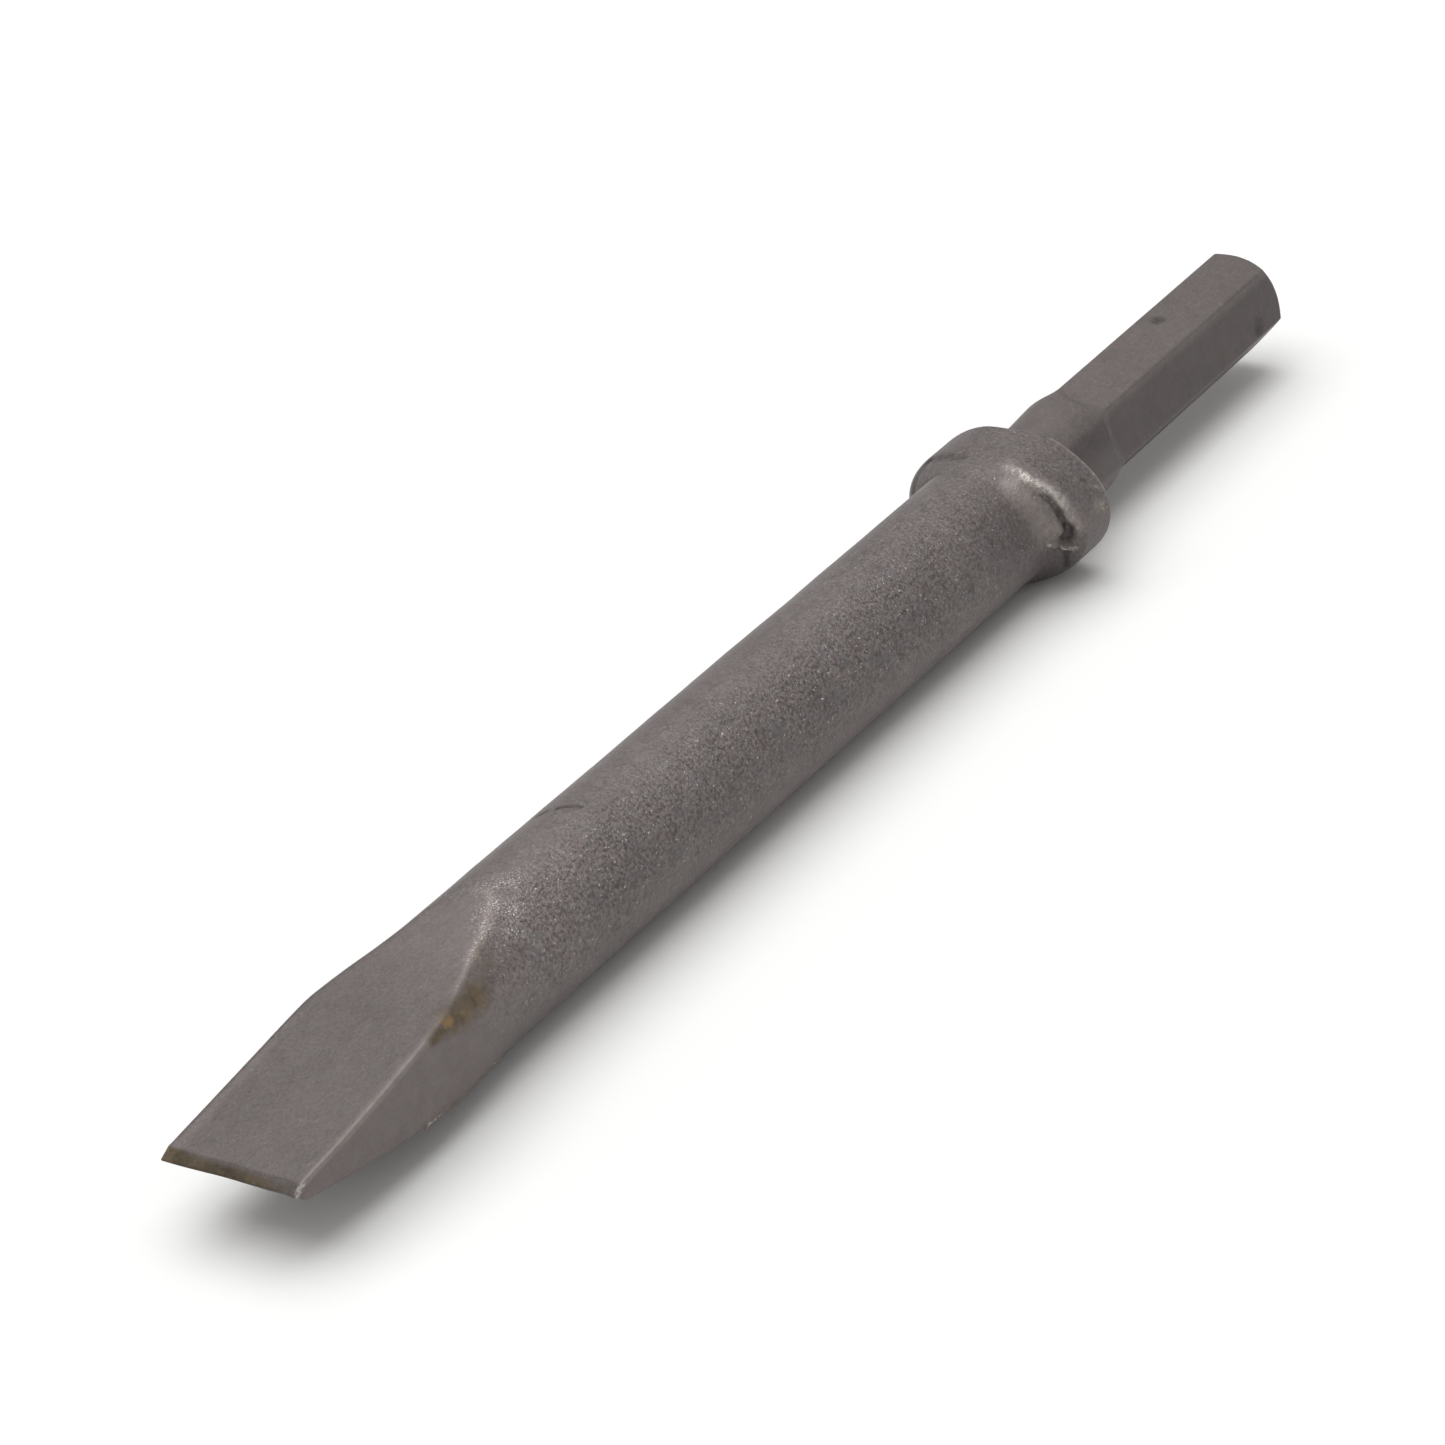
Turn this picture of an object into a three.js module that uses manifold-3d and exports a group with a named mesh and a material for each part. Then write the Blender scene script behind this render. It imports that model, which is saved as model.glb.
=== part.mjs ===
// A power-hammer flat chisel, forged from one bar of steel, in millimetres.
//
// The chisel's axis is the X axis. The centre of the flat striking face is the origin, the cutting edge
// is at the +X end and runs along Y, and the wide faces of the blade look up and down, along Z.
// From the struck end the parts of the forging are: hexagonal shank, round neck, oval collar, round body
// and wedge-shaped blade.

import * as THREE from "three";
import { mergeVertices } from "three/addons/utils/BufferGeometryUtils.js";
import Module from "manifold-3d";

const wasm = await Module();
wasm.setup();

// Driving dimensions.
const OVERALL_LENGTH = 249;
const SIDES = 64; // facets round a turned surface

const SHANK_ACROSS_FLATS = 14.7;
const SHANK_END = 51; // where the flats stop
const SHANK_TURN = THREE.MathUtils.degToRad(-14.4); // a corner of the hexagon, from +Y towards +Z
const STRIKING_FACE_RADIUS = 6.5;
const CHAMFER_LENGTH = 2.1; // of the bevelled rim of the struck end, along X

const NECK_RADIUS = 8.6;
const NECK_START = 48; // where the neck begins, inside the shank
const NECK_START_RADIUS = 7.15; // just under the flats
const NECK_FULL = 53.5; // where it reaches its own radius

const COLLAR_REAR = 66.5; // the shoulder that seats against the end of the hammer's nozzle
const COLLAR_HALF_WIDTH = 15.25; // along Y
const COLLAR_HALF_HEIGHT = 11.2; // along Z, before its top and bottom are pressed flat
const COLLAR_HALF_FLAT = 10.75; // from the axis to those flats, which the chisel lies on
const COLLAR_EDGE_RADIUS = 1.8; // of the rear rim
const COLLAR_SHOULDER = 75; // where the rim begins to fall towards the body
const COLLAR_FRONT = 84; // where it has run out into the body
const COLLAR_FRONT_RADIUS = 9.75; // there, just inside the body

const BODY_RADIUS = 10.35;
const BODY_END = 204; // where the forging begins to spread into the blade

const BLADE_ROOT_RADIUS = 12.1; // of the round envelope where the blade is squarest
const BLADE_ROOT = 224;
const BLADE_HALF_WIDTH = 10.9;
const BLADE_RISE = 194.5; // where the wide faces leave the round body
const BEVEL_LENGTH = 1.6; // of the ground cutting edge
const BEVEL_HALF_HEIGHT = 1.25;
const EDGE_HALF_HEIGHT = 0.15;

const OVERSHOOT = 5; // how far a cutting shape reaches past what it cuts
const CLEARANCE = 0.01; // what a cutting shape that only trims one end leaves round the rest
const WELD = 1e-4; // points closer than this are one point

/** A geometry as a manifold solid. */
function solidOf(geometry) {
  const bare = geometry.clone();
  bare.deleteAttribute("normal");
  bare.deleteAttribute("uv");
  const merged = mergeVertices(bare, WELD);
  const vertProperties = new Float32Array(merged.attributes.position.array);
  const triVerts = new Uint32Array(merged.index.array);
  return new wasm.Manifold(new wasm.Mesh({ numProp: 3, vertProperties, triVerts }));
}

/** A manifold solid as a flat-shaded geometry. */
function geometryOf(solid) {
  const mesh = solid.getMesh();
  const geometry = new THREE.BufferGeometry();
  geometry.setAttribute("position", new THREE.BufferAttribute(new Float32Array(mesh.vertProperties), 3));
  geometry.setIndex(new THREE.BufferAttribute(new Uint32Array(mesh.triVerts), 1));
  geometry.computeVertexNormals();
  return geometry;
}

/** The profile, a list of [x, radius] from the struck end to the edge, turned about the X axis. */
function turned(profile, heightRatio = 1) {
  const points = profile.map(([x, radius]) => new THREE.Vector2(radius, x));
  const geometry = new THREE.LatheGeometry(points, SIDES);
  geometry.rotateZ(-Math.PI / 2);
  geometry.scale(1, 1, heightRatio);
  return solidOf(geometry);
}

/** An arc of a circle as [x, radius] points, from angle start to angle end in radians. */
function arc(centreX, centreRadius, size, start, end, steps = 6) {
  return Array.from({ length: steps + 1 }, (_, step) => {
    const angle = start + ((end - start) * step) / steps;
    return [centreX + size * Math.cos(angle), centreRadius + size * Math.sin(angle)];
  });
}

/** An S-shaped run of [x, radius] points between two places, level at both ends. */
function blend(startX, startRadius, endX, endRadius, steps = 8) {
  return Array.from({ length: steps + 1 }, (_, step) => {
    const along = step / steps;
    const rise = along * along * (3 - 2 * along);
    return [startX + (endX - startX) * along, startRadius + (endRadius - startRadius) * rise];
  });
}

/** The hexagonal shank, with its struck end bevelled down to the flat striking face. */
function shank() {
  const cornerRadius = SHANK_ACROSS_FLATS / Math.sqrt(3);
  const corners = Array.from({ length: 6 }, (_, index) => {
    const angle = SHANK_TURN + (index * Math.PI) / 3;
    return new THREE.Vector2(-cornerRadius * Math.sin(angle), cornerRadius * Math.cos(angle));
  });
  const bar = new THREE.ExtrudeGeometry(new THREE.Shape(corners), { depth: SHANK_END, bevelEnabled: false });
  bar.rotateY(Math.PI / 2);

  const clearRadius = cornerRadius + CLEARANCE;
  const end = SHANK_END + OVERSHOOT;
  const envelope = turned([
    [0, 0],
    [0, STRIKING_FACE_RADIUS],
    [CHAMFER_LENGTH, clearRadius],
    [end, clearRadius],
    [end, 0],
  ]);
  return solidOf(bar).intersect(envelope);
}

/** The round neck between the flats of the shank and the collar. */
function neck() {
  const flare = blend(NECK_START, NECK_START_RADIUS, NECK_FULL, NECK_RADIUS);
  const end = COLLAR_SHOULDER;
  return turned([[NECK_START, 0], ...flare, [end, NECK_RADIUS], [end, 0]]);
}

/** The oval collar: a flat shoulder behind, a rounded rim with a flat above and below, and a front that
 * falls away into the body. */
function collar() {
  const rimCentre = COLLAR_HALF_WIDTH - COLLAR_EDGE_RADIUS;
  const rear = arc(COLLAR_REAR + COLLAR_EDGE_RADIUS, rimCentre, COLLAR_EDGE_RADIUS, Math.PI, Math.PI / 2);
  const front = blend(COLLAR_SHOULDER, COLLAR_HALF_WIDTH, COLLAR_FRONT, COLLAR_FRONT_RADIUS);
  const outline = [[COLLAR_REAR, 0], ...rear, ...front, [COLLAR_FRONT, 0]];
  const press = new THREE.BoxGeometry(OVERALL_LENGTH, 3 * COLLAR_HALF_WIDTH, 2 * COLLAR_HALF_FLAT);
  return turned(outline, COLLAR_HALF_HEIGHT / COLLAR_HALF_WIDTH).intersect(solidOf(press));
}

/** The wide faces of the blade and the bevels of its edge, as a wedge as wide as the envelope. */
function wedge() {
  const bevelStart = OVERALL_LENGTH - BEVEL_LENGTH;
  const slope = (BODY_RADIUS - BEVEL_HALF_HEIGHT) / (bevelStart - BLADE_RISE);
  const start = COLLAR_SHOULDER - OVERSHOOT;
  const startHeight = BEVEL_HALF_HEIGHT + slope * (bevelStart - start);
  const upper = [
    [start, startHeight],
    [bevelStart, BEVEL_HALF_HEIGHT],
    [OVERALL_LENGTH, EDGE_HALF_HEIGHT],
  ];
  const lower = upper.map(([x, z]) => [x, -z]).reverse();
  const outline = [...upper, ...lower].map(([x, z]) => new THREE.Vector2(x, z));
  const depth = 2 * BLADE_HALF_WIDTH;
  const geometry = new THREE.ExtrudeGeometry(new THREE.Shape(outline), { depth, bevelEnabled: false });
  geometry.rotateX(Math.PI / 2);
  geometry.translate(0, BLADE_HALF_WIDTH, 0);
  return solidOf(geometry);
}

/** The round body, spread at its end into the envelope that the blade is cut from. */
function body() {
  const start = COLLAR_SHOULDER;
  const spread = blend(BODY_END, BODY_RADIUS, BLADE_ROOT, BLADE_ROOT_RADIUS);
  const end = OVERALL_LENGTH + OVERSHOOT;
  const envelope = turned([
    [start, 0],
    [start, BODY_RADIUS],
    ...spread,
    [end, BLADE_ROOT_RADIUS],
    [end, 0],
  ]);
  return envelope.intersect(wedge());
}

const steel = new THREE.MeshStandardMaterial({ color: 0x6b6663, roughness: 0.55, metalness: 0.9 });
steel.name = "forged_steel";

const forging = shank().add(neck()).add(collar()).add(body());
const chisel = new THREE.Mesh(geometryOf(forging), steel);
chisel.name = "chisel";

const part = new THREE.Group();
part.name = "power_hammer_chisel";
part.add(chisel);

export default part;
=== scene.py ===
"""A forged flat chisel for a power hammer, lying on its collar on a pale floor.

The steel is one piece, made as a dense skin of rings round the chisel's axis (X) that stands for the CAD
node. Lengths in this file are in millimetres and angles in degrees until they meet Blender, and angles
round the axis start at +Y, along the cutting edge, and turn towards +Z.
"""

import math

import bpy
import numpy as np
from mathutils import Matrix, Vector, noise


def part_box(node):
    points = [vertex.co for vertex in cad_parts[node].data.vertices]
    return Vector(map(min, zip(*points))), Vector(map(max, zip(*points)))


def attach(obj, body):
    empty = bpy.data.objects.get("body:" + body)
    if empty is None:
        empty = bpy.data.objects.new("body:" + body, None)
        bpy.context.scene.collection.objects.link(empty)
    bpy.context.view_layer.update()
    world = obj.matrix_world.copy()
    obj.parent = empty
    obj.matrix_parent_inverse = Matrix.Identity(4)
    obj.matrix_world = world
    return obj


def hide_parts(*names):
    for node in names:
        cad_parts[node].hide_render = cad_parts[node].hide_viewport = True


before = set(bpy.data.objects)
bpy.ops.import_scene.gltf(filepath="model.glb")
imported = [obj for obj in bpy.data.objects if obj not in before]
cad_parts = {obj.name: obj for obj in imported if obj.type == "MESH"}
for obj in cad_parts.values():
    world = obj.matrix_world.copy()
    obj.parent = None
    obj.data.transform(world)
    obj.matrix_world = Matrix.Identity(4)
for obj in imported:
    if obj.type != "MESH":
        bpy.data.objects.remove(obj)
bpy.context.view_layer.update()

MM = 0.001
chisel_low, chisel_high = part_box("chisel")
SKIN_DEPTH = 0.1  # how far the skin stays inside the CAD model's box

# Driving dimensions.
LENGTH = chisel_high[0] / MM - SKIN_DEPTH
RIM_HALF_WIDTH = chisel_high[1] / MM - SKIN_DEPTH
RIM_HALF_FLAT = chisel_high[2] / MM - SKIN_DEPTH
RIM_HALF_HEIGHT = RIM_HALF_FLAT + 0.45  # of the oval, before its top and bottom are pressed flat
FLOOR = chisel_low[2]

ACROSS_FLATS = 14.65
SHANK_TURN = -14.4
SHANK_NEAR_FLAT_WAY = SHANK_TURN + 30.0  # the direction of the flat nearest to +Y
SHANK_OFFSET = 0.89  # the shank was forged this far off the body's axis at the struck end
SHANK_LEAN = 0.006  # and closes in by this much for each millimetre
SHANK_OFFSET_WAY = 130.5
SHANK_OFFSET_ENDS = (52.0, 64.0)  # where the neck brings it back to the axis
STRIKING_FACE_RADIUS = 6.5
CHAMFER_SLOPE = 0.95
WORN_BEVEL = 0.5  # how much deeper the bevel is on the side to which the shank is offset
WORN_BEVEL_WIDTH = 50.0

NECK_RADIUS = 8.55
CORNERS_END = 50.0  # where the hexagon's corners run out into the neck
FLATS_EXTRA = 1.6  # how much further the middle of each flat runs
FLARE_LENGTH = 2.4
LOW_SIDE = -50.0  # the direction in which the flats run out sooner and more gently
LOW_SIDE_WIDTH = 55.0
LOW_SIDE_EARLY = 4.0

COLLAR_REAR = chisel_low[0] / MM + 66.55
COLLAR_EDGE_RADIUS = 1.2
COLLAR_EDGE_DEPTH = 0.9 * COLLAR_EDGE_RADIUS  # how far that rounding reaches in from the rim
FLATTER_WAY = 30.0  # the direction in which the collar's oval is a little flat
FLATTER_WIDTH = 42.0
FLATTER_BY = 0.5
COLLAR_FILLET = 0.9
COLLAR_SHOULDER = 74.8
COLLAR_FRONT = 81.5
LOW_FRONT_WAY = -38.0
LOW_FRONT_WIDTH = 80.0
LOW_FRONT_EARLY = 3.2  # how much sooner the front runs out on the low side
LOW_SHOULDER_SHARE = 0.45  # how much of that the shoulder moves
LOBE_SIDE = 155.0  # the direction in which the front is a blunt lobe
LOBE_WIDTH = 50.0
LOBE_EARLY = 2.6
LOBE_SHOULDER_EARLY = 1.1

BODY_RADIUS = 10.3
BODY_START = COLLAR_FRONT + 2.0
SPREAD_START = 204.0
SPREAD_END = 224.0
ROOT_RADIUS = 12.1
LOW_ROOT_LESS = 0.4
BLADE_HALF_WIDTH = 10.5
BLADE_RISE = 194.5
BEVEL_LENGTH = 1.5
BEVEL_START = LENGTH - BEVEL_LENGTH
BEVEL_HALF_HEIGHT = 1.25
EDGE_HALF_HEIGHT = 0.12
EDGE_HOLLOW = 0.45  # how far the cutting edge is worn back in its middle
HOLLOW_FAR_SIDE = (-11.0, 0.0)  # across the blade, where the hollow begins and is deepest
HOLLOW_NEAR_SIDE = (6.5, 9.6)  # and where it comes to an end
CORNER_WEAR = 0.4  # how far the edge's near corner is worn back
WORN_CORNER = (5.0, 9.6)  # across the blade, where that wear begins and is deepest
WEAR_START = 244.0  # along the blade
# The blade's sides towards +Y and -Y, as places along it and distances from the axis there.
SIDE_PLACES = (210.0, 222.0, 232.0, 240.0, 247.0, 249.0)
NEAR_SIDE = (10.5, 10.45, 10.5, 10.3, 9.85, 9.6)
FAR_SIDE = (10.5, 10.75, 11.1, 11.4, 11.7, 12.05)

# How crisp a meeting edge is: the sharpness that soft_min is given.
FORGED_EDGE = 90.0
BLADE_ROOT_EDGE = 50.0
BLADE_SIDE_EDGE = 110.0

# How coarse the skin is, against 1 where it is coarsest.
SHANK_GRAIN = 0.08
BLADE_GRAIN = 0.10
COLLAR_GRAIN = 0.4
BODY_LEAST_GRAIN = 0.25
COARSE_WAY = 30.0  # the direction in which the body is coarsest
COARSE_WIDTH = 66.0
NEAR_SIDE_SMOOTHER = 0.8  # how much of its grain the blade's near side has lost
NEAR_SIDE_DEPTH = (9.6, 10.1)  # across the blade, where that side begins
BLADE_GRAIN_START = (190.0, 214.0)
COARSE_COLLAR = (COLLAR_REAR - 1.0, COLLAR_REAR + 1.0, 90.0, 130.0)
COARSE_BODY = (COLLAR_SHOULDER + 3.0, 120.0, BLADE_RISE, 214.0)
UNCUT = (0.9, 1.0)  # of the body's radius, below which the blade's faces have cut the coarse skin away

# Unevenness of the whole skin, as heights and the sizes of its features.
FORGING_WAVES = ((0.07, 15.0), (0.035, 4.5))
CALM_END = 60.0  # where the calm shank and neck begin to give way to the collar
SHANK_CALMER = 0.7  # how much of those waves is missing on the shank
BLADE_CALMER = 0.4
GRAIN_HEIGHT, GRAIN_SIZE = 0.03, 0.9
LAP_CRUMBLE, LAP_CRUMBLE_SIZE, LAP_CRUMBLE_WIDTH = 0.12, 1.3, 5.0

# The camera and the light, in metres, degrees and watts.
CAMERA_ANGLES = (40.99, 29.22, -11.53)  # azimuth, elevation and roll
CAMERA_AIM = (0.1384, -0.0052, 0.0)
CAMERA_DISTANCE = 0.5845
CAMERA_LENS = 105.46  # in millimetres
FLOOR_HALF_SIDE = 4.0
FLOOR_COLOUR = (0.85, 0.85, 0.84, 1.0)
SKY_STRENGTH = 0.55
LAMP_PLACE = (0.1, -0.15, 1.2)
LAMP_SIZE = 1.6
LAMP_POWER = 16.0

# The skin's mesh.
SEARCH_REACH = 8.0  # rings this near along the axis are searched for a place on the skin
AROUND = 200  # vertices in a ring; a multiple of 8, so that one lands on each of the blade's four corners
FACE_RINGS = 6  # on the striking face
FILLET_RINGS, REAR_FACE_RINGS, EDGE_RINGS, RIM_RINGS, FRONT_RINGS = 5, 7, 7, 24, 32  # on the collar
FOOT_RINGS = 6  # between the collar's front and the body
# Where each stretch of the shank and of the blade ends, and how far apart its rings are.
SHANK_STRETCHES = ((2.4, 0.3), (45.0, 0.8), (55.0, 0.28), (COLLAR_REAR - COLLAR_FILLET, 0.5))
BLADE_STRETCHES = ((192.0, 0.65), (BEVEL_START, 0.5), (LENGTH, 0.2))
TINY = 1e-6  # what counts as nothing, and the least that anything is divided by

# Marks left by the forging, and lines of painted shade and of a painted highlight by the collar's lobe, each
# as a line on the skin: places along the axis and directions round it.
BLADE_RIDGE = ((247.2, 6), (236.0, 16), (222.2, 28))
RUN_OUT = ((222.2, 28), (216.3, 34), (211.3, 43), (207.7, 51), (204.4, 57), (198.8, 72), (196.6, 85))
ROOT_CRUMBS = ((196.5, 87), (195, 82), (200.5, 73), (199, 69), (202.5, 61), (198, 55), (200, 44), (193.5, 75))
NEAR_CORNER = ((248.3, -1), (247.4, 5), (247.0, 6))
ROOT_RUST = ((221.0, 26), (217.0, 27), (214.0, 27), (211.0, 28))
ROOT_GOLD = ((218.2, 29), (217.2, 28))
ROOT_STAIN = ((211.0, 30), (207.5, 37), (205.5, 48))
FLASH_NUBS = ((210.2, -32), (226.0, -25))
SIDE_STAIN = ((232.0, -15), (229.5, -18))
LAP_RIDGE = ((76.9, 59), (77.1, 49), (77.0, 43), (76.5, 36), (76.2, 27), (76.0, 20), (75.9, 11), (75.7, 4))
LAP_GROOVE = ((77.2, 32), (76.9, 24), (76.8, 17), (76.7, 10), (76.5, 4))
LAP_PIT = ((76.2, 3), (76.3, -2), (76.6, -5))
LAP_FLARE = ((79.2, 47), (79.5, 35), (79.2, 25), (78.8, 13), (78.2, 3))
PIT_TAIL = ((76.2, -15), (74.9, -31))
BURR = ((76.6, -11), (75.3, -12))
SMALL_BURR = ((78.4, -7), (77.3, -10))
RIM_LINE = ((67.0, 56), (67.0, 45), (67.0, 31), (67.0, 20), (67.0, 8))
RIM_SCARS = ((70.0, 23), (69.5, 21), (68.0, 14))
RIM_CHIP = ((70.0, 5), (67.4, 1))
# The crease between the collar's lobe and the body is a real dent, and its darkening is painted shade.
LOBE_CREASE = ((75.6, 138), (76.3, 128), (77.0, 113), (76.8, 105))
# Painted shade along the outline of the collar's lobe.
LOBE_SHADE = ((77.9, 162), (77.3, 154), (76.3, 146), (75.5, 142))
# A painted highlight on the body beside the collar's lobe.
LOBE_HIGHLIGHT = ((86.3, 120), (82.5, 118))
BODY_CREASE = ((177.6, 101), (176.9, 93), (176.5, 84))
BODY_SCRATCH = ((179.4, 114), (178.2, 108))
BODY_NOTCH = ((156.0, -42),)
SHANK_SPOT = ((25.1, 93), (24.5, 92))
SHANK_STAIN = ((8.9, -4), (8.2, 4))

# How far each mark stands out of the skin, its line and how wide it is to either side.
RELIEF = (
    (0.04, BLADE_RIDGE + RUN_OUT, 0.6),
    (0.45, FLASH_NUBS[:1], 0.8),
    (0.30, FLASH_NUBS[1:], 0.7),
    (0.45, LAP_RIDGE, 1.6),
    (-0.80, LAP_GROOVE, 0.65),
    (-1.30, LAP_PIT, 1.2),
    (0.35, LAP_FLARE, 2.4),
    (-0.30, PIT_TAIL, 0.7),
    (0.70, BURR, 0.6),
    (0.40, SMALL_BURR, 0.5),
    (0.10, RIM_LINE, 0.6),
    (-0.25, RIM_SCARS, 0.7),
    (-0.30, RIM_CHIP, 0.8),
    (-0.28, LOBE_CREASE, 1.5),
    (-0.15, BODY_CREASE, 0.5),
    (-0.15, BODY_SCRATCH, 0.5),
    (-0.25, BODY_NOTCH, 0.7),
    (-0.06, SHANK_SPOT, 1.0),
    (-0.06, SHANK_STAIN, 0.9),
)

# Where the marks change the look: how strongly, their line and how wide they are to either side.
MASKS = {
    "rust": (
        (1.00, ROOT_RUST, 1.7),
        (1.00, ROOT_RUST[1:], 3.7),
        (0.42, ROOT_STAIN, 3.4),
        (0.30, SIDE_STAIN, 2.0),
        (0.60, FLASH_NUBS, 1.6),
        (0.35, RIM_CHIP, 2.4),
    ),
    "gold": ((1.00, ROOT_GOLD, 1.5),),
    "pale": (
        (0.60, BLADE_RIDGE, 0.8),
        (0.50, RUN_OUT, 1.0),
        (1.00, LAP_RIDGE, 2.6),
        (1.00, LAP_FLARE, 3.8),
        (1.00, RIM_LINE, 0.8),
        (0.60, RIM_SCARS, 1.2),
        (0.80, RIM_CHIP, 1.6),
        # A painted highlight on the body beside the collar's lobe.
        (0.70, LOBE_HIGHLIGHT, 0.9),
    ),
    "worn": (
        (0.22, RUN_OUT, 0.7),
        (0.80, NEAR_CORNER, 0.9),
        (0.80, FLASH_NUBS, 0.5),
        (0.50, LAP_RIDGE, 1.8),
        (0.95, LAP_RIDGE[1:4], 1.8),
        (0.90, LAP_RIDGE[3:6], 2.0),
        (0.90, BURR, 0.7),
        (0.80, SMALL_BURR, 0.7),
        (0.62, RIM_LINE, 0.9),
        (0.80, RIM_SCARS[2:], 1.0),
        (0.60, RIM_CHIP, 1.0),
    ),
    "crumbs": (
        (0.65, RUN_OUT[3:], 1.2),
        *((1.00, (crumb,), 2.6) for crumb in ROOT_CRUMBS),
    ),
    "dark": (
        (0.70, LAP_GROOVE, 0.7),
        (0.80, LAP_GROOVE[2:], 0.9),
        (0.50, LAP_PIT, 2.0),
        (0.70, PIT_TAIL, 1.0),
        (0.70, RIM_SCARS[:2], 1.0),
        (0.60, RIM_CHIP[1:], 1.3),
        # Painted shade in the lobe's crease and along the lobe's outline.
        (0.50, LOBE_CREASE, 1.8),
        (1.00, LOBE_SHADE, 1.6),
        (1.00, BODY_CREASE, 0.7),
        (0.70, BODY_SCRATCH, 0.7),
        (0.60, BODY_NOTCH, 0.7),
        (0.70, SHANK_SPOT, 2.0),
        (0.60, SHANK_STAIN, 2.2),
    ),
}

# The steel's colours.
SCALE_DARK = (0.070, 0.058, 0.056, 1.0)
SCALE_LIGHT = (0.220, 0.190, 0.185, 1.0)
SCALE_WARM = (0.152, 0.110, 0.100, 1.0)
SCALE_COOL = (0.130, 0.133, 0.136, 1.0)
# Colour of pale rubbed scale and of the painted highlight beside the collar's lobe.
RUBBED_SCALE_AND_HIGHLIGHT = (0.31, 0.27, 0.25, 1.0)
RUST_DARK = (0.052, 0.034, 0.014, 1.0)
RUST_LIGHT = (0.135, 0.097, 0.052, 1.0)
RUST_GOLD = (0.27, 0.16, 0.065, 1.0)
BARE_METAL = (0.50, 0.46, 0.425, 1.0)
# Colour of the crumbs and of the painted glints.
CRUMB_AND_GLINT = (0.50, 0.46, 0.44, 1.0)
# Colour of the dark marks and of the painted shade at the collar's lobe.
DARK_MARK_AND_SHADE = (0.018, 0.013, 0.010, 1.0)
BUMP_DEPTH = 0.26  # of the grain that is too fine for the mesh
BEVEL_NEAR_CLEANER = 0.85  # how much of the bevel's rust is missing towards its near corner
BEVEL_CLEAN_SIDE = (2.0, 10.0)  # across the blade, where that begins and is full

# How much lighter the colour is than on the plain body, or darker where negative; the lines below say where
# this is painted shade.
SHANK_TONE = -0.10
# Painted shade: the shank's flat nearest +Y made darker, standing in for the darker surroundings it reflects.
NEAR_FLAT_SHADE = -0.29
BLADE_FACES_TONE = -0.20
BEVEL_TONE = -0.12
SHANK_TONE_END = (62.0, 67.0)
NEAR_FLAT_EDGE = (24.0, 34.0)  # in degrees from the middle of the flat
BLADE_TONE_START = (196.0, 222.0)
BLADE_SIDE_START = (9.0, 10.0)  # across the blade
BLADE_SIDE_HEIGHT = (5.0, 6.0)
# The other such patches: how much lighter, where along the axis each begins, is full, is full to and ends,
# and its direction round the axis and its width to either side.
ALL_ROUND = (0.0, math.inf)
TONE_AND_SHADE_PATCHES = (
    (-0.07, (64.0, 68.0, 76.0, 80.0), ALL_ROUND),  # the collar
    (-0.22, (64.0, 68.0, 76.0, 80.0), (-35.0, 60.0)),  # its low side, painted shade
    (-0.22, (76.0, 80.0, 84.0, 98.0), (10.0, 60.0)),  # painted shade at the foot of its front, where it meets the body
    (-0.12, (80.0, 90.0, 178.0, 195.0), (9.0, 30.0)),  # painted shade in a band along the body, on its side towards +Y
    (0.19, (178.0, 192.0, 205.0, 214.0), (45.0, 60.0)),  # where the body runs into the blade
)


def smooth(value, low, high):
    """0 below low, 1 above high, and an S between."""
    t = np.clip((value - low) / (high - low), 0.0, 1.0)
    return t * t * (3.0 - 2.0 * t)


def soft_min(sharpness, *radii):
    """The least of several radii, with the meeting edges rounded."""
    total = sum(np.power(radius, -sharpness) for radius in radii)
    return np.power(total, -1.0 / sharpness)


def bump(angles, centre, width):
    """1 in the direction centre, falling to 0 at width degrees on either side of it."""
    apart = np.abs(np.mod(np.degrees(angles) - centre + 180.0, 360.0) - 180.0)
    return 1.0 - smooth(apart, 0.0, width)


def within(value, start, full, last, end):
    """1 from full to last, falling to 0 at start and at end."""
    return smooth(value, start, full) * (1.0 - smooth(value, last, end))


def shares(count, whole=1.0):
    """Equal steps up to the whole, without the 0 they start from."""
    return np.linspace(0.0, whole, count + 1)[1:]


def stretches(start, ends_and_gaps):
    """Places along the axis after start, through stretches that each have an end and a gap."""
    places = []
    for end, gap in ends_and_gaps:
        count = max(1, round((end - start) / gap))
        places.extend(np.linspace(start, end, count + 1)[1:])
        start = end
    return places


def ring_angles(x):
    """Directions of a ring's vertices, drawn together towards the blade's corners as it thins."""
    turn = np.arange(AROUND) * 2.0 * math.pi / AROUND
    flatness = blade_height(x) / BLADE_HALF_WIDTH
    squeeze = max(min(flatness, 1.0), 0.01)
    return np.arctan2(squeeze * np.sin(turn), np.cos(turn))


def hexagon(angles):
    """The shank's section."""
    corner = np.radians(SHANK_TURN)
    from_flat = np.mod(angles - corner, math.pi / 3.0) - math.pi / 6.0
    return ACROSS_FLATS / 2.0 / np.cos(from_flat)


def oval(angles, half_width, half_height):
    """An oval section."""
    return 1.0 / np.hypot(np.cos(angles) / half_width, np.sin(angles) / half_height)


def rim_radius(angles):
    """The collar's oval with its flats above and below."""
    flats = RIM_HALF_FLAT / np.maximum(np.abs(np.sin(angles)), TINY)
    less = FLATTER_BY * bump(angles, FLATTER_WAY, FLATTER_WIDTH)
    rim = oval(angles, RIM_HALF_WIDTH, RIM_HALF_HEIGHT) - less
    return soft_min(FORGED_EDGE, rim, flats)


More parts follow.
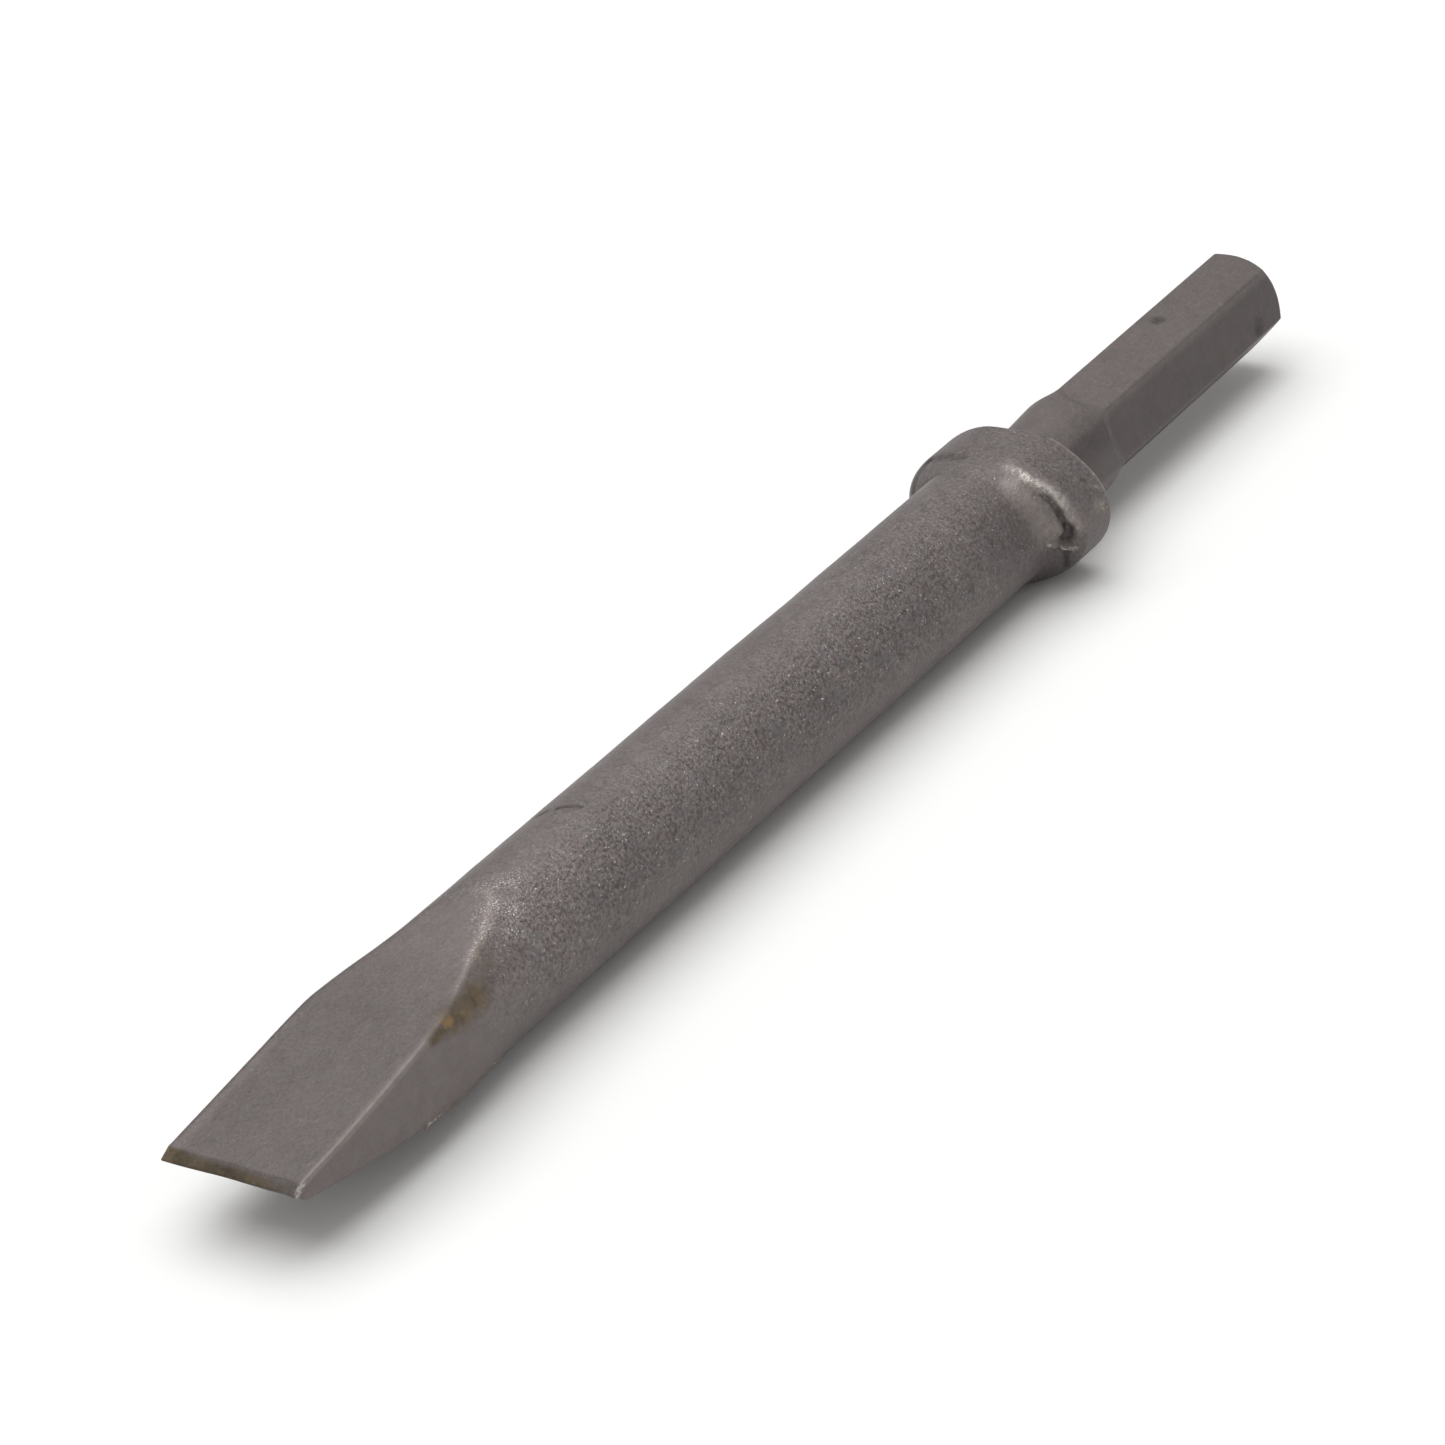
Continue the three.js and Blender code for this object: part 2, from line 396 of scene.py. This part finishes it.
def shank_radius(x, angles):
    """The hexagon, bevelled at the struck end, and running out into the neck."""
    flats = hexagon(angles)
    worn = WORN_BEVEL * bump(angles, SHANK_OFFSET_WAY, WORN_BEVEL_WIDTH)
    bar = soft_min(FORGED_EDGE, flats, STRIKING_FACE_RADIUS + CHAMFER_SLOPE * x - worn)
    corner_share = (flats * 2.0 / ACROSS_FLATS - 1.0) / (2.0 / math.sqrt(3.0) - 1.0)
    low = bump(angles, LOW_SIDE, LOW_SIDE_WIDTH)
    end = CORNERS_END + FLATS_EXTRA * (1.0 - corner_share) - LOW_SIDE_EARLY * low
    flare = smooth(x, end, end + FLARE_LENGTH + LOW_SIDE_EARLY * low)
    return bar + flare * (NECK_RADIUS - bar)


def blade_height(x):
    """Half the thickness between the blade's wide faces."""
    if x > BEVEL_START:
        along = (x - BEVEL_START) / BEVEL_LENGTH
        return BEVEL_HALF_HEIGHT + along * (EDGE_HALF_HEIGHT - BEVEL_HALF_HEIGHT)
    slope = (BODY_RADIUS - BEVEL_HALF_HEIGHT) / (BEVEL_START - BLADE_RISE)
    return BEVEL_HALF_HEIGHT + slope * (BEVEL_START - x)


def blade_radius(x, angles):
    """The round body, spread towards the blade and cut to its wide faces and sides."""
    root = ROOT_RADIUS - LOW_ROOT_LESS * bump(angles, LOW_SIDE, LOW_SIDE_WIDTH)
    envelope = BODY_RADIUS + smooth(x, SPREAD_START, SPREAD_END) * (root - BODY_RADIUS)
    faces = blade_height(x) / np.maximum(np.abs(np.sin(angles)), TINY)
    sides = BLADE_HALF_WIDTH / np.maximum(np.abs(np.cos(angles)), TINY)
    return soft_min(BLADE_ROOT_EDGE, envelope, soft_min(BLADE_SIDE_EDGE, faces, sides))


def collar_rear(rim):
    """Rings of the collar's fillet, rear face and rounded rear edge, as (places, radii)."""
    level = np.ones(AROUND)
    rings = []
    for turn in shares(FILLET_RINGS, math.pi / 2.0):
        place = COLLAR_REAR - COLLAR_FILLET * (1.0 - math.sin(turn))
        rings.append((place * level, NECK_RADIUS + COLLAR_FILLET * (1.0 - math.cos(turn)) * level))
    foot = NECK_RADIUS + COLLAR_FILLET
    for share in shares(REAR_FACE_RINGS):
        rings.append((COLLAR_REAR * level, foot + share * (rim - COLLAR_EDGE_DEPTH - foot)))
    for turn in shares(EDGE_RINGS, math.pi / 2.0):
        place = COLLAR_REAR + COLLAR_EDGE_RADIUS * (1.0 - math.cos(turn))
        rings.append((place * level, rim - COLLAR_EDGE_DEPTH * (1.0 - math.sin(turn))))
    return rings


def collar_front(angles, rim):
    """Rings of the collar's rim and of its uneven fall to the body, as (places, radii)."""
    lobe = np.sqrt(bump(angles, LOBE_SIDE, LOBE_WIDTH))
    early = LOW_FRONT_EARLY * bump(angles, LOW_FRONT_WAY, LOW_FRONT_WIDTH)
    front = COLLAR_FRONT - early - LOBE_EARLY * lobe
    shoulder = COLLAR_SHOULDER - LOW_SHOULDER_SHARE * early - LOBE_SHOULDER_EARLY * lobe
    rear = COLLAR_REAR + COLLAR_EDGE_RADIUS
    rings = []
    for share in shares(RIM_RINGS):
        rings.append((rear + share * (shoulder - rear), rim))
    for turn in shares(FRONT_RINGS, math.pi / 2.0):
        along = math.sin(turn)
        slope = 1.0 - smooth(along, 0.0, 1.0)
        fall = slope + lobe * (math.cos(turn) - slope)
        rings.append((shoulder + along * (front - shoulder), BODY_RADIUS + fall * (rim - BODY_RADIUS)))
    return rings


def all_rings():
    """Every ring of the skin from the struck end to the cutting edge, as (places, angles, radii)."""
    level = np.ones(AROUND)
    angles = ring_angles(0.0)
    rim = rim_radius(angles)
    rings = [(0.0 * level, angles, share * shank_radius(0.0, angles)) for share in shares(FACE_RINGS)]
    for x in stretches(0.0, SHANK_STRETCHES):
        rings.append((x * level, angles, shank_radius(x, angles)))
    for places, radii in collar_rear(rim) + collar_front(angles, rim):
        rings.append((places, angles, radii))
    last = rings[-1][0]
    for share in shares(FOOT_RINGS):
        rings.append((last + share * (BODY_START - last), angles, BODY_RADIUS * level))
    for x in stretches(BODY_START, BLADE_STRETCHES):
        angles = ring_angles(x)
        rings.append((x * level, angles, blade_radius(x, angles)))
    return rings


def skin_points():
    """The skin's vertices as an array of rings, in millimetres."""
    places, angles, radii = (np.array(part) for part in zip(*all_rings()))
    offset = (SHANK_OFFSET - SHANK_LEAN * places) * (1.0 - smooth(places, *SHANK_OFFSET_ENDS))
    way = math.radians(SHANK_OFFSET_WAY)
    y = radii * np.cos(angles) + offset * math.cos(way)
    z = radii * np.sin(angles) + offset * math.sin(way)
    near = np.interp(places, SIDE_PLACES, NEAR_SIDE) / BLADE_HALF_WIDTH
    far = np.interp(places, SIDE_PLACES, FAR_SIDE) / BLADE_HALF_WIDTH
    y *= np.where(y > 0.0, near, far)
    hollow = EDGE_HOLLOW * within(y, *HOLLOW_FAR_SIDE, *HOLLOW_NEAR_SIDE)
    worn = (hollow + CORNER_WEAR * smooth(y, *WORN_CORNER)) * smooth(places, WEAR_START, LENGTH)
    return np.stack([places - worn, y, z], axis=2)


class Skin:
    """The plain skin before its marks: rings of vertices, then the middle of the striking face."""

    def __init__(self):
        self.rings = skin_points()
        middle = self.rings[0].mean(axis=0, keepdims=True)
        self.points = np.concatenate([self.rings.reshape(-1, 3), middle])
        self.ways = np.degrees(np.arctan2(self.rings[:, :, 2], self.rings[:, :, 1]))

    def at(self, x, way):
        """The point at a place along the axis and a direction round it."""
        crossings = []
        for ring, ways in zip(self.rings, self.ways):
            if abs(ring[0, 0] - x) < SEARCH_REACH:
                crossing = [np.interp(way, ways, ring[:, axis], period=360.0) for axis in range(3)]
                crossings.append(crossing)
        crossings = np.array(crossings)
        return np.array([np.interp(x, crossings[:, 0], crossings[:, axis]) for axis in range(3)])

    def near(self, line, width):
        """1 on a mark's line, falling to 0 at width from it."""
        nearest = np.full(len(self.points), np.inf)
        stops = [self.at(*place) for place in line]
        for start, end in zip(stops, stops[1:] or stops):
            run = end - start
            along = np.clip((self.points - start) @ run / max(run @ run, TINY), 0.0, 1.0)
            apart = np.linalg.norm(self.points - start - along[:, None] * run, axis=1)
            nearest = np.minimum(nearest, apart)
        return 1.0 - smooth(nearest, 0.0, width)

    def marked_by(self, rows):
        """The greatest of several marks' strengths at each vertex."""
        strengths = [strength * self.near(line, width) for strength, line, width in rows]
        return np.maximum.reduce(strengths)

    def normals(self):
        """Outward directions at the vertices."""
        around = np.roll(self.rings, -1, axis=1) - np.roll(self.rings, 1, axis=1)
        along = np.gradient(self.rings, axis=0)
        normals = np.cross(around, along).reshape(-1, 3)
        normals /= np.maximum(np.linalg.norm(normals, axis=1, keepdims=True), TINY)
        return np.concatenate([normals, [(-1.0, 0.0, 0.0)]])


def roughness_at(points, size):
    """Smooth noise from -1 to 1 whose features are about size millimetres across."""
    return np.array([noise.noise(Vector(point) / size) for point in points])


def grain_strength(points):
    """How coarse the skin is: most on the body's upper near side, little on the shank and the blade."""
    x, y, z = points.T
    body = within(x, *COARSE_BODY)
    collar = within(x, *COARSE_COLLAR)
    facing = bump(np.arctan2(z, y), COARSE_WAY, COARSE_WIDTH)
    uncut = smooth(np.hypot(y, z) / BODY_RADIUS, *UNCUT)
    side = smooth(y, *NEAR_SIDE_DEPTH) * smooth(x, SPREAD_START, SPREAD_END - 2.0)
    plain = (SHANK_GRAIN + BLADE_GRAIN * smooth(x, *BLADE_GRAIN_START)) * (1.0 - NEAR_SIDE_SMOOTHER * side)
    body_grain = body * uncut * (BODY_LEAST_GRAIN + (1.0 - BODY_LEAST_GRAIN) * facing)
    return plain + COLLAR_GRAIN * collar + body_grain


def relief(skin):
    """How far the forging's marks stand out of the plain skin, or in where negative."""
    x = skin.points[:, 0]
    shank = 1.0 - smooth(x, CALM_END, COLLAR_REAR)
    calm = 1.0 - SHANK_CALMER * shank - BLADE_CALMER * smooth(x, SPREAD_START, SPREAD_END)
    height = calm * sum(depth * roughness_at(skin.points, size) for depth, size in FORGING_WAVES)
    height += GRAIN_HEIGHT * grain_strength(skin.points) * roughness_at(skin.points, GRAIN_SIZE)
    by_lap = skin.near(LAP_RIDGE + LAP_GROOVE, LAP_CRUMBLE_WIDTH)
    height += LAP_CRUMBLE * by_lap * roughness_at(skin.points, LAP_CRUMBLE_SIZE)
    for depth, line, width in RELIEF:
        height += depth * skin.near(line, width)
    return height


def skin_faces(ring_count):
    """Quads between the rings, a fan on the striking face and a strip along the cutting edge."""
    faces = []
    centre = ring_count * AROUND
    for j in range(AROUND):
        after = (j + 1) % AROUND
        faces.append((centre, after, j))
        for i in range(ring_count - 1):
            near, far = i * AROUND, (i + 1) * AROUND
            faces.append((near + j, near + after, far + after, far + j))
    last = (ring_count - 1) * AROUND
    for j in range(AROUND // 2):
        across, across_after = (AROUND - j) % AROUND, AROUND - j - 1
        corners = dict.fromkeys((last + j, last + j + 1, last + across_after, last + across))
        if len(corners) > 2:
            faces.append(tuple(corners))
    return faces


def on_bevel(x):
    """1 on the ground bevel at the cutting edge, 0 behind it."""
    return smooth(x, BEVEL_START - 0.3, BEVEL_START + 0.5)


def tone_and_shade_of(points):
    """How light the colour is in each place, against 1 on the plain body: the scale's tone, with painted
    shade on the shank's near flat, the collar's low side, the foot of its front and a band along the body.
    """
    x, y, z = points.T
    way = np.arctan2(z, y)
    shank = 1.0 - smooth(x, *SHANK_TONE_END)
    near_flat = 1.0 - smooth(np.abs(np.degrees(way) - SHANK_NEAR_FLAT_WAY), *NEAR_FLAT_EDGE)
    # painted shade on the shank's flat nearest +Y
    tone = 1.0 + SHANK_TONE * shank + NEAR_FLAT_SHADE * (shank * near_flat)
    for amount, stretch, direction in TONE_AND_SHADE_PATCHES:
        tone += amount * (within(x, *stretch) * bump(way, *direction))
    side = smooth(np.abs(y), *BLADE_SIDE_START) * (1.0 - smooth(np.abs(z), *BLADE_SIDE_HEIGHT))
    tone += BLADE_FACES_TONE * (smooth(x, *BLADE_TONE_START) * (1.0 - side))
    return tone + BEVEL_TONE * on_bevel(x)


def paint_masks(mesh, skin):
    """Store on the mesh where the steel is rusty, pale, worn bright, dark or coarse, where highlight and
    shade are painted, and its tone, which holds more painted shade.
    """
    x, y = skin.points[:, 0], skin.points[:, 1]
    masks = {name: skin.marked_by(rows) for name, rows in MASKS.items()}
    bevel_rust = on_bevel(x) * (1.0 - BEVEL_NEAR_CLEANER * smooth(y, *BEVEL_CLEAN_SIDE))
    masks["rust"] = np.maximum(masks["rust"], bevel_rust)
    masks["grain"] = grain_strength(skin.points)
    masks["tone"] = tone_and_shade_of(skin.points)
    for name, values in masks.items():
        layer = mesh.attributes.new(name, "FLOAT", "POINT")
        layer.data.foreach_set("value", values.astype(np.float32))


def make_skin():
    """The forging's visible mesh, with its marks, held inside the CAD model's box."""
    skin = Skin()
    marked = skin.points + relief(skin)[:, None] * skin.normals()
    low, high = (np.array(corner) / MM for corner in (chisel_low, chisel_high))
    least_depth = 0.5 * SKIN_DEPTH
    marked = np.clip(marked, low + least_depth, high - least_depth)
    striking_face = skin.points[:, 0] < TINY
    marked[striking_face, 0] = least_depth
    mesh = bpy.data.meshes.new("chisel_forging")
    mesh.from_pydata((marked * MM).tolist(), [], skin_faces(len(skin.rings)))
    mesh.shade_smooth()
    paint_masks(mesh, skin)
    piece = bpy.data.objects.new("chisel_forging", mesh)
    bpy.context.scene.collection.objects.link(piece)
    return piece


class Shading:
    """A short way to write a material's nodes."""

    def __init__(self, name):
        self.material = bpy.data.materials.new(name)
        self.material.use_nodes = True
        self.tree = self.material.node_tree
        self.shader = self.tree.nodes["Principled BSDF"]
        place = self.tree.nodes.new("ShaderNodeTexCoord")
        self.place = self.node("ShaderNodeVectorMath", place.outputs["Object"], operation="SCALE")
        self.place.node.inputs["Scale"].default_value = 1.0 / MM

    def feed(self, socket, value):
        """Link a socket or set a plain value."""
        if isinstance(value, bpy.types.NodeSocket):
            self.tree.links.new(value, socket)
        else:
            socket.default_value = value

    def node(self, kind, *values, output=0, **settings):
        """A node with its settings and its first inputs, as its output socket."""
        made = self.tree.nodes.new(kind)
        for name, setting in settings.items():
            setattr(made, name, setting)
        for socket, value in zip(made.inputs, values):
            self.feed(socket, value)
        return made.outputs[output]

    def add(self, first, second):
        """The sum of two values."""
        return self.node("ShaderNodeMath", first, second, operation="ADD")

    def less(self, first, second):
        """The first value less the second."""
        return self.node("ShaderNodeMath", first, second, operation="SUBTRACT")

    def times(self, first, second):
        """The product of two values."""
        return self.node("ShaderNodeMath", first, second, operation="MULTIPLY")

    def mask(self, name):
        """A value stored at the mesh's vertices."""
        return self.node("ShaderNodeAttribute", output=2, attribute_name=name)

    def noise(self, size, detail, roughness=0.6):
        """Noise from 0 to 1 with features about size millimetres across."""
        made = self.tree.nodes.new("ShaderNodeTexNoise")
        settings = {"Vector": self.place, "Scale": 1.0 / size, "Detail": detail, "Roughness": roughness}
        for name, value in settings.items():
            self.feed(made.inputs[name], value)
        return made.outputs[0]

    def ramp(self, value, low, high, start=0.0, end=1.0):
        """value from low to high mapped to start to end, and held beyond."""
        return self.node("ShaderNodeMapRange", value, low, high, start, end)

    def blend(self, share, first, second):
        """A colour between two colours."""
        made = self.tree.nodes.new("ShaderNodeMix")
        made.data_type = "RGBA"
        for socket, value in ((made.inputs[0], share), (made.inputs[6], first), (made.inputs[7], second)):
            self.feed(socket, value)
        return made.outputs[2]

    def broken(self, name, texture, spread, low, high):
        """A mask whose edge is broken up by a texture."""
        mask = self.mask(name)
        shift = self.times(self.less(texture, 0.5), spread)
        inside = self.times(shift, self.ramp(mask, 0.0, 0.15))
        return self.ramp(self.add(mask, inside), low, high)


class ForgedSteel(Shading):
    """Dull shot-blasted steel: grey scale, fine grain, some rust, and bare metal where it is worn, with
    painted glints, a painted highlight and painted shade.
    """

    def __init__(self):
        super().__init__("forged_steel")
        self.grain = self.mask("grain")
        self.fine = self.noise(0.50, 2.0)
        self.grit = self.noise(0.26, 1.0)
        self.mottle = self.noise(2.6, 4.0, 0.65)
        self.blotch = self.noise(1.2, 3.0, 0.6)
        self.rust = self.broken("rust", self.blotch, 1.0, 0.15, 1.0)
        self.worn = self.broken("worn", self.noise(0.75, 4.0, 0.7), 2.6, 0.40, 1.05)
        self.finish_colour()
        self.finish_gloss()
        self.finish_grain()

    def scale_colour(self):
        """Grey forging scale, speckled where it is coarse, with warm and cool clouds."""
        speckle = self.times(self.less(self.fine, 0.5), self.ramp(self.grain, 0.0, 1.0, 0.5, 3.0))
        cloud = self.times(self.less(self.mottle, 0.5), self.ramp(self.grain, 0.0, 1.0, 0.4, 0.8))
        drift = self.times(self.less(self.noise(14.0, 3.0), 0.5), 0.30)
        shade = self.add(self.add(speckle, cloud), self.add(drift, 0.5))
        colour = self.blend(self.ramp(shade, 0.0, 1.0), SCALE_DARK, SCALE_LIGHT)
        warm = self.ramp(self.noise(1.1, 3.0), 0.48, 0.72)
        colour = self.blend(self.times(warm, 0.5), colour, SCALE_WARM)
        cool = self.ramp(self.noise(2.1, 3.0), 0.50, 0.70)
        return self.blend(self.times(cool, self.times(self.grain, 0.5)), colour, SCALE_COOL)

    def marked_colour(self, colour):
        """The scale with its pale, rusty, golden, worn and dark places, its painted glints, and the painted
        highlight and painted shade by the collar's lobe.
        """
        # Pale rubbed scale, and the painted highlight beside the collar's lobe.
        pale = self.times(self.mask("pale"), self.ramp(self.blotch, 0.25, 0.65, 0.35, 1.0))
        colour = self.blend(self.times(pale, 0.8), colour, RUBBED_SCALE_AND_HIGHLIGHT)
        rust_colour = self.blend(self.ramp(self.mottle, 0.35, 0.65), RUST_DARK, RUST_LIGHT)
        colour = self.blend(self.rust, colour, rust_colour)
        gold = self.broken("gold", self.blotch, 1.8, 0.30, 1.0)
        colour = self.blend(self.times(gold, 0.8), colour, RUST_GOLD)
        colour = self.blend(self.worn, colour, BARE_METAL)
        # Painted glints: bright specks on the coarse grain, standing in for light caught by it; the crumbs
        # are specks at the blade's root.
        glints = self.times(self.ramp(self.noise(0.42, 1.0), 0.69, 0.76), self.grain)
        crumbs = self.times(self.ramp(self.grit, 0.56, 0.68), self.mask("crumbs"))
        crumbs_and_glints = self.node("ShaderNodeMath", glints, crumbs, operation="MAXIMUM")
        colour = self.blend(crumbs_and_glints, colour, CRUMB_AND_GLINT)
        # Dark marks, and the painted shade in the lobe's crease and along its outline.
        dark = self.broken("dark", self.blotch, 0.8, 0.10, 0.95)
        return self.blend(self.times(dark, 0.85), colour, DARK_MARK_AND_SHADE)

    def finish_colour(self):
        """Colour from the scale, its marks, its painted glints, highlight and shade, and the tone of each
        place with its painted shade.
        """
        toned = self.node("ShaderNodeVectorMath", self.marked_colour(self.scale_colour()), operation="SCALE")
        self.feed(toned.node.inputs["Scale"], self.mask("tone"))
        self.feed(self.shader.inputs["Base Color"], toned)

    def finish_gloss(self):
        """More metal and more gloss where it is worn, and less where it is rusty."""
        metal = self.add(self.times(self.worn, 0.4), 0.45)
        self.feed(self.shader.inputs["Metallic"], self.times(metal, self.less(1.0, self.rust)))
        rough = self.add(self.ramp(self.fine, 0.3, 0.7, 0.42, 0.58), self.times(self.rust, 0.25))
        self.feed(self.shader.inputs["Roughness"], self.less(rough, self.times(self.worn, 0.12)))

    def finish_grain(self):
        """Grain too fine for the mesh."""
        coarse = self.times(self.add(self.fine, self.times(self.grit, 0.5)), self.grain)
        bump_node = self.tree.nodes.new("ShaderNodeBump")
        bump_node.inputs["Distance"].default_value = BUMP_DEPTH * MM
        self.feed(bump_node.inputs["Height"], self.add(coarse, self.times(self.mottle, 0.4)))
        self.feed(self.shader.inputs["Normal"], bump_node.outputs[0])


def make_camera():
    """A long lens from the blade's end, above and to the +Y side, with the picture tilted a little."""
    azimuth, elevation, roll = (math.radians(angle) for angle in CAMERA_ANGLES)
    away = Vector((
        math.cos(elevation) * math.cos(azimuth),
        math.cos(elevation) * math.sin(azimuth),
        math.sin(elevation),
    ))
    data = bpy.data.cameras.new("camera")
    data.sensor_width = 36.0
    data.lens = CAMERA_LENS
    camera = bpy.data.objects.new("camera", data)
    bpy.context.scene.collection.objects.link(camera)
    turn = away.to_track_quat("Z", "Y").to_matrix().to_4x4() @ Matrix.Rotation(roll, 4, "Z")
    camera.matrix_world = Matrix.Translation(Vector(CAMERA_AIM) + CAMERA_DISTANCE * away) @ turn
    bpy.context.scene.camera = camera


def make_floor():
    """A pale floor under the collar."""
    side = FLOOR_HALF_SIDE
    corners = [(-side, -side, FLOOR), (side, -side, FLOOR), (side, side, FLOOR), (-side, side, FLOOR)]
    mesh = bpy.data.meshes.new("floor")
    mesh.from_pydata(corners, [], [(0, 1, 2, 3)])
    floor = bpy.data.objects.new("floor", mesh)
    bpy.context.scene.collection.objects.link(floor)
    paint = bpy.data.materials.new("floor")
    paint.use_nodes = True
    shader = paint.node_tree.nodes["Principled BSDF"]
    shader.inputs["Base Color"].default_value = FLOOR_COLOUR
    shader.inputs["Roughness"].default_value = 0.9
    mesh.materials.append(paint)


def make_light():
    """An even pale sky and one broad soft lamp overhead."""
    world = bpy.data.worlds.new("studio")
    world.use_nodes = True
    sky = world.node_tree.nodes["Background"]
    sky.inputs["Color"].default_value = (1.0, 1.0, 1.0, 1.0)
    sky.inputs["Strength"].default_value = SKY_STRENGTH
    bpy.context.scene.world = world
    bpy.context.scene.view_settings.view_transform = "Standard"

    data = bpy.data.lights.new("overhead", "AREA")
    data.size = LAMP_SIZE
    data.energy = LAMP_POWER
    lamp = bpy.data.objects.new("overhead", data)
    bpy.context.scene.collection.objects.link(lamp)
    lamp.location = LAMP_PLACE
    middle = Vector((LENGTH / 2.0 * MM, 0.0, 0.0))
    lamp.rotation_euler = (Vector(LAMP_PLACE) - middle).to_track_quat("Z", "Y").to_euler()


make_camera()
make_floor()
make_light()
chisel = make_skin()
chisel.data.materials.append(ForgedSteel().material)
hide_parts("chisel")
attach(chisel, "root")
